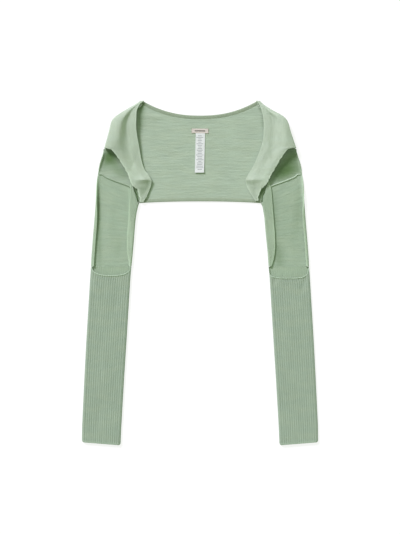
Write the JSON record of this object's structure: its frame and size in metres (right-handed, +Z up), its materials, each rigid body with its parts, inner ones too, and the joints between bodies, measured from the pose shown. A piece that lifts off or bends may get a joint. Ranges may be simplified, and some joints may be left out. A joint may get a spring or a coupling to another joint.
{
  "type": "knitted shrug",
  "caption": "Cropped knitted shrug laid out flat, fronts folded over the back at the shoulders, with open upper sleeves and long ribbed lower sleeves.",
  "frame": {"origin": "on the surface that the garment lies on, under the middle of its bounding box", "axes": "+Y from the cuffs to the collar, +Z up from the surface, +X to the right seen from above with the collar away"},
  "size_m": [0.531, 0.773, 0.0215],
  "materials": {
    "green_knit": "soft brushed jersey knit",
    "green_rib_knit": "soft ribbed knit",
    "beige_woven_label": "woven tape",
    "white_satin_label": "satin tape"
  },
  "bodies": {
    "root": {"back_panel": "green_knit", "left_front": "green_knit", "right_front": "green_knit", "left_front_band": "green_knit", "right_front_band": "green_knit", "back_neck_band": "green_knit", "hem_band": "green_knit", "left_upper_sleeve": "green_knit", "right_upper_sleeve": "green_knit", "left_ribbed_sleeve": "green_rib_knit", "right_ribbed_sleeve": "green_rib_knit", "neck_label": "beige_woven_label", "care_label": "white_satin_label"}
  },
  "joints": []
}
